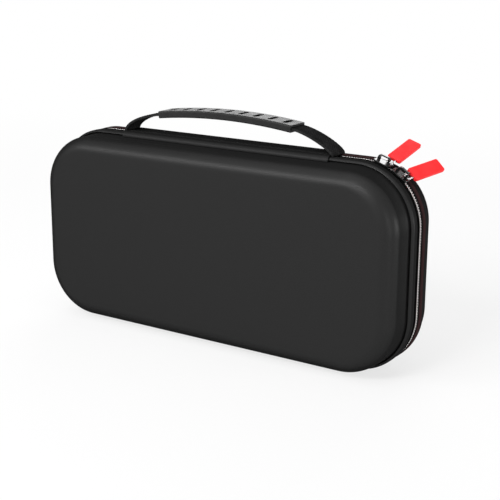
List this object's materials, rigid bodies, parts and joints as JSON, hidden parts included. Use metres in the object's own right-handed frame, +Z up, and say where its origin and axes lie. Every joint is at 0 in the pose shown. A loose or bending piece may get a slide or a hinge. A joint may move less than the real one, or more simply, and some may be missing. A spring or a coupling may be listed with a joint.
{
  "type": "portable game console case",
  "caption": "Zipped hard carrying case for a handheld game console, black cloth over moulded foam, with a strap handle on its spine and red zip pulls.",
  "frame": {"origin": "middle of the case at the bottom, midway between the lid's face and the end of the upper pull", "axes": "+Z up, X along the width, the lid looks along -Y"},
  "size_m": [0.2659, 0.0576, 0.1463],
  "materials": {
    "shell_cloth": "fine matt black cloth moulded over hard foam",
    "strip_cloth": "smooth black cloth strip",
    "zip_tape": "woven dark tape",
    "zip_coil": "grey nylon coil",
    "black_metal": "glossy black lacquer",
    "bright_wire": "bright plated wire",
    "red_rubber": "matt red moulded rubber",
    "webbing": "coarse woven black webbing",
    "grip_rubber": "matt dark moulded rubber",
    "bed_cloth": "short-pile black lining over foam",
    "elastic": "ribbed black elastic",
    "net": "fine black net"
  },
  "bodies": {
    "case": {"rear_shell": "shell_cloth", "hinge_strip": "strip_cloth", "zip_tape_rear": "zip_tape", "zip_coil_rear": "zip_coil", "zip_stop_left": "black_metal", "zip_stop_right": "black_metal", "handle_strap": "webbing", "handle_grip": "grip_rubber", "console_bed": "bed_cloth", "hold_band_left": "elastic", "hold_band_right": "elastic"},
    "lid": {"front_shell": "shell_cloth", "zip_tape_front": "zip_tape", "zip_coil_front": "zip_coil", "pocket_net": "net", "pocket_hem": "elastic"},
    "slider_upper": {"slider_upper": "black_metal"},
    "slider_lower": {"slider_lower": "black_metal"},
    "pull_upper": {"pull_loop_upper": "bright_wire", "pull_tab_upper": "red_rubber"},
    "pull_lower": {"pull_loop_lower": "bright_wire", "pull_tab_lower": "red_rubber"}
  },
  "joints": [
    {"name": "lid_hinge", "type": "hinge", "parent": "case", "child": "lid", "pos_m": [0, -0.00956, 0.12425], "axis": [-1, 0, 0], "range_deg": [0, 95]},
    {"name": "slider_upper_run", "type": "hinge", "parent": "case", "child": "slider_upper", "pos_m": [0.0945, 0.00204, 0.0895], "axis": [0, 1, 0], "range_deg": [-10, 0]},
    {"name": "slider_lower_run", "type": "hinge", "parent": "case", "child": "slider_lower", "pos_m": [0.0945, 0.00204, 0.0895], "axis": [0, 1, 0], "range_deg": [0, 42]},
    {"name": "pull_upper_swing", "type": "hinge", "parent": "slider_upper", "child": "pull_upper", "pos_m": [0.10703, 0.00204, 0.12738], "axis": [0.9494, 0, -0.314], "range_deg": [-15, 24]},
    {"name": "pull_lower_swing", "type": "hinge", "parent": "slider_lower", "child": "pull_lower", "pos_m": [0.11896, 0.00204, 0.12103], "axis": [0.7902, 0, -0.6129], "range_deg": [-15, 24]}
  ]
}
